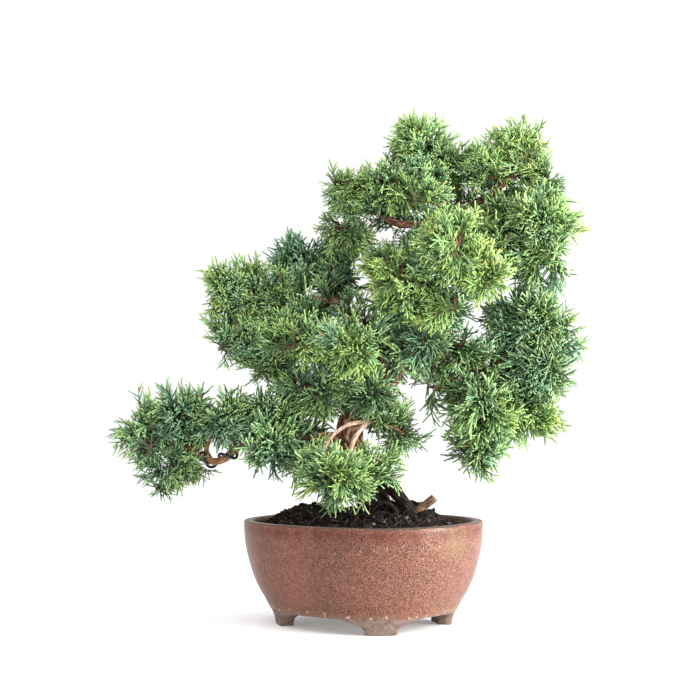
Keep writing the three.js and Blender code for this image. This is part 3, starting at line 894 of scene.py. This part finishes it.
SPOT_SPACING = 0.0060
SPOT_TRIES = 3600
TUFT_SPACING = 0.015
TUFT_DEPTH = 0.019
TUFT_SITS_BACK = -0.0045
TUFT_STANDS_OUT = 0.0030
NEIGHBOUR = 0.003
ROOM_WANTED = 0.014
TWIG_STEP = 0.0028
LEAFY_LENGTH = (0.0110, 0.0160)
INNER_RADII = (0.0013, 0.0006)
LEAFY_RADII = (0.0005, 0.00032)
FORK_PLACES = 14

pad_nodes = {name: node for name, node in frame["nodes"].items() if name.startswith("foliage_")}


def solid_tree(node):
    """A search tree over a CAD solid's faces."""
    mesh = node.data
    return BVHTree.FromPolygons(
        [vertex.co for vertex in mesh.vertices], [tuple(face.vertices) for face in mesh.polygons]
    )


pad_surfaces = {name: solid_tree(node) for name, node in pad_nodes.items()}


def open_spots(name, dice):
    """Points spread over a pad where no other pad lies against it, each with its way out."""
    mesh = pad_nodes[name].data
    mesh.calc_loop_triangles()
    faces = list(mesh.loop_triangles)
    spots = []
    for face in dice.choices(faces, [face.area for face in faces], k=SPOT_TRIES):
        a, b, c = (mesh.vertices[i].co for i in face.vertices)
        u, v = dice.random(), dice.random()
        if u + v > 1:
            u, v = 1 - u, 1 - v
        place = a + (b - a) * u + (c - a) * v
        out = face.normal.copy()
        if any((place - other).length < SPOT_SPACING for other, _ in spots):
            continue
        hidden = any(
            other != name and surface.ray_cast(place, out, NEIGHBOUR)[0] is not None
            for other, surface in pad_surfaces.items()
        )
        if not hidden:
            spots.append((place, out))
    return spots


def tuft_heads(name, spots, dice):
    """The spots that lead a tuft, each with the tuft's root well inside the pad, and how far the
    whole tuft stands out or sits back."""
    heads = []
    for place, out in spots:
        if all((place - other).length > TUFT_SPACING for other, _, _ in heads):
            far = pad_surfaces[name].ray_cast(place - out * 0.001, -out, 0.1)[3] or TUFT_DEPTH
            root = place - out * min(TUFT_DEPTH, far * 0.55)
            heads.append((place, root, dice.uniform(TUFT_SITS_BACK, TUFT_STANDS_OUT)))
    return heads


def room_ahead(place, out):
    """How far a shoot can grow out of its pad before it meets the next one."""
    start = place + out * 0.0005
    hits = [surface.ray_cast(start, out, ROOM_WANTED)[3] for surface in pad_surfaces.values()]
    return min((hit for hit in hits if hit is not None), default=0)


def twig(start, target, out, radii, dice):
    """A twig from one point to another, which it reaches along the way out."""
    reach = (target - start).length
    wander = random_vector(dice, (-1, -1, -1), (1, 1, 1)) * reach * 0.1
    turning = start.lerp(target - out * reach * 0.45, 0.6) + wander
    return branch_along([start, turning, target], TWIG_STEP, *radii)


# Openings in the foliage: across and up from the pot's middle, reach, and how far back they go.
# Light shows through the deep ones, and wood shows behind the shallow ones.
OPENINGS = [
    (0.0074, 0.240, 0.010, 0.1), (-0.0087, 0.190, 0.008, 0.1), (0.0167, 0.165, 0.006, 0.1),
    (0.0740, 0.182, 0.014, 0.1), (0.0830, 0.164, 0.011, 0.1), (0.0180, 0.085, 0.011, -0.01),
    (0.0540, 0.262, 0.010, -0.01), (-0.0080, 0.122, 0.010, -0.01), (0.0385, 0.141, 0.019, 0.1),
    (0.0260, 0.101, 0.018, 0.1), (0.0800, 0.309, 0.017, 0.1), (-0.0570, 0.225, 0.013, 0.1),
    (-0.0670, 0.145, 0.010, 0.1), (-0.0920, 0.098, 0.010, 0.1), (0.0220, 0.309, 0.009, 0.1),
    (0.0460, 0.106, 0.013, 0.1), (0.1190, 0.128, 0.010, 0.1), (0.0205, 0.153, 0.011, -0.005),
]


def kept_open(place):
    """Whether a place lies in one of the openings."""
    aside = place - pot_middle
    return any(
        math.hypot(aside.x - across, aside.z - up) < reach and aside.y < back
        for across, up, reach, back in OPENINGS
    )


limb_points = [
    place for branch in limbs + wired_limbs + pale_limbs[:1] for place in branch["route"]
]
inner_twigs, leafy_twigs = [], {}
for number, name in enumerate(sorted(pad_nodes)):
    dice = random.Random(100 + number)
    spots = open_spots(name, dice)
    heads = tuft_heads(name, spots, dice)
    middle = sum((place for place, _ in spots), Vector()) / len(spots)
    network = sorted(limb_points, key=lambda place: (place - middle).length)[:FORK_PLACES]
    flow = (middle - network[0]).normalized()
    for head, root, _ in sorted(heads, key=lambda item: (item[1] - network[0]).length):
        start = min(network, key=lambda place: (place - root).length)
        grown = twig(start, root, (head - root).normalized(), INNER_RADII, dice)
        inner_twigs.append(grown)
        network.extend(grown["route"][1:])
    # Each leafy twig fans out from its tuft's root and leans the way the branch grows. Its tip
    # stands out where there is room, and less towards the tuft's edge.
    leafy_twigs[name] = []
    for place, out in spots:
        if kept_open(place):
            continue
        head, root, stand = min(heads, key=lambda item: (item[0] - place).length)
        radial = (place - root).normalized()
        stray = random_vector(dice, (-1, -1, -0.8), (1, 1, 1.2)) * 0.4
        way = (radial + out * 0.1 + flow * 0.5 + stray).normalized()
        growth = stand + 0.5 * room_ahead(place, out) - 0.15 * (place - head).length
        target = place + radial * growth - way * dice.uniform(*LEAFY_LENGTH)
        leafy_twigs[name].append(twig(root, target, way, LEAFY_RADII, dice))

# Thin smooth bark, dull brown all through.
twig_bark = juniper_bark("thin brown twig bark", "#6f4c36", "#4a3022", "#96745a")
outer_twigs = [branch for branches in leafy_twigs.values() for branch in branches]
wooden("twigs", inner_twigs + outer_twigs, 4, 0.0, twig_bark)


# ---- Foliage ----------------------------------------------------------------------------------
# Juniper foliage: plumes of cord-like green shoots, set all along the outer twigs. New growth at
# the tips is yellow-green, and old growth inside is dark. One piece for each branch's foliage.

PLUME_KINDS = 6
PLUME_SPACING = 0.0022
PLUME_SPREAD = 0.40
SHOOT_RADIUS = 0.00052


def shoot(bm, points, thick, thin, old, new):
    """One shoot: a three-sided cord, closed at both ends, with its age from old to new along it."""
    age = bm.verts.layers.float["age"]
    last = len(points) - 1
    rings = []
    for i, place in enumerate(points):
        share = i / last
        ahead = (points[min(i + 1, last)] - points[max(i - 1, 0)]).normalized()
        side = Vector((0.2, 1, 0)).cross(ahead).normalized()
        other = ahead.cross(side)
        radius = thick + (thin - thick) * share
        ring = []
        for corner in range(3):
            angle = math.tau * corner / 3
            vertex = bm.verts.new(place + (side * math.cos(angle) + other * math.sin(angle)) * radius)
            vertex[age] = old + (new - old) * share
            ring.append(vertex)
        rings.append(ring)
    join_rings(bm, rings)
    bm.faces.new(rings[0][::-1])
    point = bm.verts.new(points[-1] + (points[-1] - points[-2]).normalized() * thin)
    point[age] = new
    for i in range(3):
        bm.faces.new((rings[-1][i], rings[-1][(i + 1) % 3], point))


def plume(dice, name, material, length, sides, side_length, forks):
    """A nearly flat plume growing along Z: a bent stem with side shoots to its left and right in
    turn, the lowest of them forked."""
    bm = bmesh.new()
    bm.verts.layers.float.new("age")
    lean = Vector((dice.uniform(-1, 1), dice.uniform(-1, 1), 0)) * 0.0015
    top = Vector((0, 0, length * dice.uniform(0.9, 1.1))) + lean
    half = Vector((0, 0, length / 2)) - lean * 0.6
    shoot(bm, [Vector(), half, top], SHOOT_RADIUS, SHOOT_RADIUS * 0.8, 0.0, 1.0)
    first_angle = dice.uniform(0, math.tau)
    for i in range(sides):
        share = 0.14 + 0.62 * i / (sides - 1) + dice.uniform(-0.04, 0.04)
        foot = half * (share * 2) if share < 0.5 else half.lerp(top, share * 2 - 1)
        angle = first_angle + i * math.pi + dice.uniform(-0.55, 0.55)
        tilt = dice.uniform(0.42, 0.80)
        way = Vector((math.cos(angle) * math.sin(tilt), math.sin(angle) * math.sin(tilt), math.cos(tilt)))
        reach = side_length * (1.1 - 0.45 * share) * dice.uniform(0.8, 1.2)
        end = foot + way * reach
        shoot(bm, [foot, end], SHOOT_RADIUS * 0.92, SHOOT_RADIUS * 0.75, share * 0.5, 1.0)
        if i < forks:
            fork = (way + Vector((dice.uniform(-1, 1), dice.uniform(-1, 1), 0)) * 0.7).normalized()
            crotch = foot.lerp(end, 0.62)
            shoot(bm, [crotch, crotch + fork * reach * 0.36],
                  SHOOT_RADIUS * 0.85, SHOOT_RADIUS * 0.75, 0.6, 1.0)
    return finished(name, bm, material)


def plume_tree():
    """Sets plumes along each twig, turned outwards with some spread, and marks each for its colour."""
    tree, given = new_geometry_tree("plumes along twigs", {
        "Plumes": "Collection", "Spacing": "Float", "Size": "Float", "Spread": "Float",
        "Lift": "Float", "Painted_Light": "Float", "Foliage": "Material",
    })
    share = add(tree, "GeometryNodeSplineParameter").outputs["Factor"]
    path = store(tree, given["Geometry"], {"outer": share})
    points = add(
        tree, "GeometryNodeCurveToPoints", {"Curve": path, "Length": given["Spacing"]}, mode="LENGTH"
    )
    any_way = {0: (-1, -1, -1), 1: (1, 1, 1), 8: 1}
    stray = add(tree, "FunctionNodeRandomValue", any_way, data_type="FLOAT_VECTOR")
    spread = add(tree, "ShaderNodeVectorMath", {0: stray, 3: given["Spread"]}, operation="SCALE")
    lift = add(tree, "ShaderNodeCombineXYZ", {"Z": given["Lift"]})
    way = points.outputs["Tangent"]
    for pull in (spread, lift):
        way = add(tree, "ShaderNodeVectorMath", {0: way, 1: pull}, operation="ADD")
    upright = add(tree, "FunctionNodeAlignRotationToVector", {"Vector": way}, axis="Z")
    angle = add(tree, "FunctionNodeRandomValue", {2: 0.0, 3: math.tau, 8: 2}, data_type="FLOAT")
    spin = add(tree, "FunctionNodeAxisAngleToRotation", {"Axis": (0, 0, 1), "Angle": angle})
    turn = add(tree, "FunctionNodeRotateRotation", {0: upright, 1: spin}, rotation_space="LOCAL")
    growth = add(tree, "FunctionNodeRandomValue", {2: 0.75, 3: 1.25, 8: 3}, data_type="FLOAT")
    size = add(tree, "ShaderNodeMath", {0: growth, 1: given["Size"]}, operation="MULTIPLY")
    # A random hue for each plume, and its share of painted light: the pad's own, give or take a little.
    hue = add(tree, "FunctionNodeRandomValue", {2: 0.0, 3: 1.0, 8: 4}, data_type="FLOAT")
    luck = add(tree, "FunctionNodeRandomValue", {2: -0.18, 3: 0.18, 8: 5}, data_type="FLOAT")
    sun = add(tree, "ShaderNodeMath", {0: luck, 1: given["Painted_Light"]}, operation="ADD")
    kind = add(tree, "FunctionNodeRandomValue", {4: 0, 5: PLUME_KINDS - 1, 8: 6}, data_type="INT")
    marked = store(tree, points, {"hue": hue, "sun": sun})
    end_tree(tree, set_on_points(tree, marked, given["Plumes"], kind, turn, size), given["Foliage"])
    return tree


def juniper_green():
    """Scale-leaf shoots: dark where they are old, paling to soft yellow-green tips, with a dead brown
    shoot here and there. Light and shade are painted on: a yellower lit copy and a bluer shaded copy
    of each green, mixed by each branch's painted light, the blue partly the real colour of shaded growth."""
    material, tree, surface = new_material("living juniper shoots")
    place = add(tree, "ShaderNodeTexCoord").outputs["Object"]
    marks = {
        label: add(tree, "ShaderNodeAttribute", attribute_name=label).outputs["Fac"]
        for label in ("age", "outer", "hue", "sun")
    }

    # Scales about 1.5 mm long, dying shoots 6 mm apart, and patches of painted light and shade of 22 mm.
    scales = add(tree, "ShaderNodeTexNoise", {"Vector": place, "Scale": 700, "Detail": 2})
    dying = add(tree, "ShaderNodeTexNoise", {"Vector": place, "Scale": 160, "Detail": 1})
    patches = add(tree, "ShaderNodeTexNoise", {"Vector": place, "Scale": 45, "Detail": 1})
    # Painted light and shade: each plume's share of light, raised or lowered in patches of 22 mm.
    painted_light_shift = add(tree, "ShaderNodeMapRange", {0: patches, 1: 0.3, 2: 0.7, 3: -0.35, 4: 0.35})
    sun = add(
        tree, "ShaderNodeMath", {0: marks["sun"], 1: painted_light_shift}, operation="ADD", use_clamp=True
    )
    outer = add(tree, "ShaderNodeMapRange", {0: marks["outer"], 1: 0.1, 2: 0.9, 3: 0.3, 4: 1.0})

    # Each colour in painted shade (bluer) and in painted light (yellower): old, then grown, then fresh at
    # the tips.
    old, grown, fresh = (
        add(tree, "ShaderNodeMix", {0: sun, 6: linear(shaded), 7: linear(painted_lit)}, data_type="RGBA")
        for shaded, painted_lit in (("#3c5b46", "#54713a"), ("#6c9676", "#8eb166"), ("#98bd90", "#b2cc68"))
    )
    green = old
    for start, end, younger in ((0.0, 0.7, grown), (0.78, 1.0, fresh)):
        age = add(tree, "ShaderNodeMapRange", {0: marks["age"], 1: start, 2: end})
        amount = add(tree, "ShaderNodeMath", {0: age, 1: outer}, operation="MULTIPLY")
        green = add(tree, "ShaderNodeMix", {0: amount, 6: green, 7: younger}, data_type="RGBA")
    varied = add(tree, "ShaderNodeHueSaturation", {
        "Hue": add(tree, "ShaderNodeMapRange", {0: marks["hue"], 3: 0.48, 4: 0.515}),
        "Value": add(tree, "ShaderNodeMapRange", {0: scales, 3: 0.7, 4: 1.3}),
        "Color": green,
    })
    dead = add(tree, "ShaderNodeMapRange", {0: dying, 1: 0.69, 2: 0.73})
    fill(surface, {
        "Base Color": add(
            tree, "ShaderNodeMix", {0: dead, 6: varied, 7: linear("#8c7440")}, data_type="RGBA"
        ),
        "Roughness": 0.55,
        "Normal": add(
            tree, "ShaderNodeBump", {"Height": scales, "Strength": 0.4, "Distance": 0.0003}
        ),
    })
    return material


# Each pad's plume size, the lift that turns its plumes up or lets them hang, its share of painted
# light (0 all painted shade, 1 all painted light), and whether it is long and loose or short and tufted.
HABITS = {
    "centre_front": (1.0, 0.35, 0.95, "tufted"), "centre_front_left": (1.0, 0.3, 0.9, "tufted"),
    "front_low": (1.0, 0.0, 0.65, "long"), "left_front": (0.95, 0.3, 0.75, "tufted"),
    "centre_left": (1.0, 0.1, 0.85, "tufted"), "centre_left_under": (1.0, -0.1, 0.4, "long"),
    "low_left_tip": (0.85, -0.3, 0.4, "long"), "low_left_top": (1.0, 0.25, 0.45, "long"),
    "low_left_inner": (1.15, -0.3, 0.3, "long"), "left_high": (0.92, 0.35, 0.6, "tufted"),
    "left_middle": (0.95, 0.1, 0.5, "long"), "upper_left": (0.95, 0.35, 0.7, "tufted"),
    "apex": (1.1, 0.45, 0.75, "tufted"), "apex_front": (1.0, 0.3, 0.75, "tufted"),
    "top_right": (0.95, 0.35, 0.8, "tufted"), "right_upper": (1.1, 0.3, 0.65, "tufted"),
    "right_middle": (1.05, 0.2, 0.35, "long"), "right_low": (1.15, -0.4, 0.6, "long"),
    "centre": (1.05, 0.0, 0.4, "long"), "trunk_spray": (0.9, 0.3, 0.4, "long"),
    "back_left": (1.0, 0.2, 0.0, "long"), "back_centre": (1.0, 0.1, 0.15, "long"),
    "back_upper": (1.0, 0.2, 0.35, "long"), "back_low": (1.05, 0.0, 0.2, "long"),
    "back_right": (1.0, 0.1, 0.2, "long"),
}
dice = random.Random(23)
leaf = juniper_green()
# A plume's length, its number of side shoots, their length, and how many of them fork.
plumes = {
    habit: kinds(f"{habit}_plumes", [
        plume(dice, f"{habit}_plume_{i}", leaf, *sizes) for i in range(PLUME_KINDS)
    ])
    for habit, sizes in (("long", (0.0140, 5, 0.0084, 1)), ("tufted", (0.0128, 5, 0.0068, 2)))
}
plumes_along = plume_tree()


def grow_plumes(name, twigs_here, spacing, size, lift, sun, habit):
    """Plumes along some twigs, as one piece of foliage that moves with the pot."""
    shoots = apply_tree(
        curves(name, twigs_here), plumes_along,
        {"Plumes": plumes[habit], "Spacing": spacing, "Size": size, "Spread": PLUME_SPREAD,
         "Lift": lift, "Painted_Light": sun, "Foliage": leaf},
        name,
    )
    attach(shoots, "root")
    return shoots


for node, twigs_here in leafy_twigs.items():
    habit = HABITS[node.removeprefix("foliage_")]
    shoots = grow_plumes(node.replace("foliage_", "shoots_"), twigs_here, PLUME_SPACING, *habit)
    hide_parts(node)


# ---- Loose shoots -----------------------------------------------------------------------------
# Leafy side twigs that grow off the limbs between the big tufts, and thin sprays that fill the gaps
# where one tuft nearly meets the next. They hide most of the wood.

LIMB_TWIG_CHANCE = 0.75
LIMB_TWIG_LENGTH = (0.006, 0.015)
FILLER_TRIES = 26_000
FILLER_SPACING = 0.0055
FILLER_REACH = 0.0068
FILLER_ABOVE_SOIL = 0.012
FILLER_SETBACK = 0.006
LOOSE_RADII = (0.0006, 0.00035)
LOOSE_SPACING = 0.0021

loose_twigs = []
dice = random.Random(57)
for branch in limbs[1:]:
    route = branch["route"]
    for i in range(4, len(route) - 1):
        if dice.random() > LIMB_TWIG_CHANCE:
            continue
        ahead = (route[i + 1] - route[i - 1]).normalized()
        around = ahead.orthogonal().normalized()
        around.rotate(Quaternion(ahead, dice.uniform(0, math.tau)))
        way = (around + ahead * 0.5 + Vector((0, 0, 0.25))).normalized()
        target = route[i] + way * dice.uniform(*LIMB_TWIG_LENGTH)
        loose_twigs.append(twig(route[i], target, way, LOOSE_RADII, dice))

wood_points = limb_points + [place for grown in inner_twigs for place in grown["route"]]
wood_tree = KDTree(len(wood_points))
for i, place in enumerate(wood_points):
    wood_tree.insert(place, i)
wood_tree.balance()
low, high = (Vector(corner) for corner in cad_box)
low.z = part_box("soil")[1].z + FILLER_ABOVE_SOIL
fillers = []
for _ in range(FILLER_TRIES):
    place = random_vector(dice, low, high)
    near = [surface.find_nearest(place, FILLER_REACH) for surface in pad_surfaces.values()]
    near = [(spot, out) for spot, out, _, _ in near if spot is not None]
    outside = all((place - spot).dot(out) > 0 for spot, out in near)
    if len(near) < 2 or not outside:
        continue
    if not kept_open(place) and all((place - other).length > FILLER_SPACING for other in fillers):
        fillers.append(place)
        start = wood_tree.find(place)[0]
        way = (place - start).normalized()
        loose_twigs.append(twig(start, place - way * FILLER_SETBACK, way, LOOSE_RADII, dice))
# The loose shoots are long plumes with a middling share of painted light.
grow_plumes("loose_shoots", loose_twigs, LOOSE_SPACING, 0.9, 0.15, 0.4, "long")
for group in plumes.values():
    discard(group)
